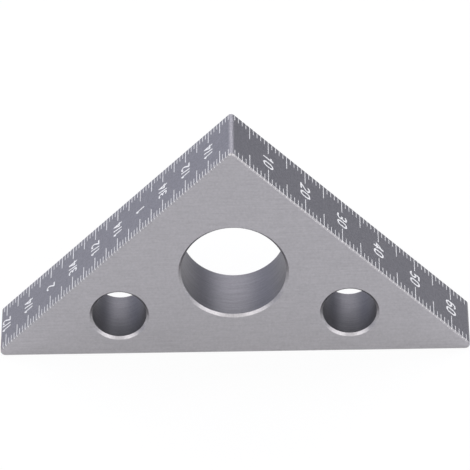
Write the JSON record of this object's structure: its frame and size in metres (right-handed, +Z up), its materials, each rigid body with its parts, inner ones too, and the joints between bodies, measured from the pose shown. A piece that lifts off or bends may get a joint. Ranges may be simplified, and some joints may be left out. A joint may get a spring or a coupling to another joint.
{
  "type": "rafter square",
  "caption": "Solid right-triangle setting and marking block that stands on its long side, with a millimetre scale on one leg, an inch scale on the other and through bores.",
  "frame": {"origin": "middle of the underside, which is the long side that the block stands on", "axes": "+X along the long side towards the end of the millimetre leg, -Y out of the front face, +Z up to the right-angled corner"},
  "size_m": [0.092, 0.014, 0.047],
  "materials": {
    "anodised_body": "satin grey anodising over machined faces",
    "white_paint": "matt white engraving paint"
  },
  "bodies": {
    "root": {"block": "anodised_body", "metric_short_lines_front": "white_paint", "metric_short_lines_back": "white_paint", "metric_long_lines_front": "white_paint", "metric_long_lines_back": "white_paint", "inch_short_lines_front": "white_paint", "inch_short_lines_back": "white_paint", "inch_long_lines_front": "white_paint", "inch_long_lines_back": "white_paint", "metric_number_10": "white_paint", "metric_number_20": "white_paint", "metric_number_30": "white_paint", "metric_number_40": "white_paint", "metric_number_50": "white_paint", "metric_number_60": "white_paint", "inch_number_0250": "white_paint", "inch_number_0500": "white_paint", "inch_number_0750": "white_paint", "inch_number_1000": "white_paint", "inch_number_1250": "white_paint", "inch_number_1500": "white_paint", "inch_number_1750": "white_paint", "inch_number_2000": "white_paint", "inch_number_2250": "white_paint", "inch_number_2500": "white_paint"}
  },
  "joints": []
}
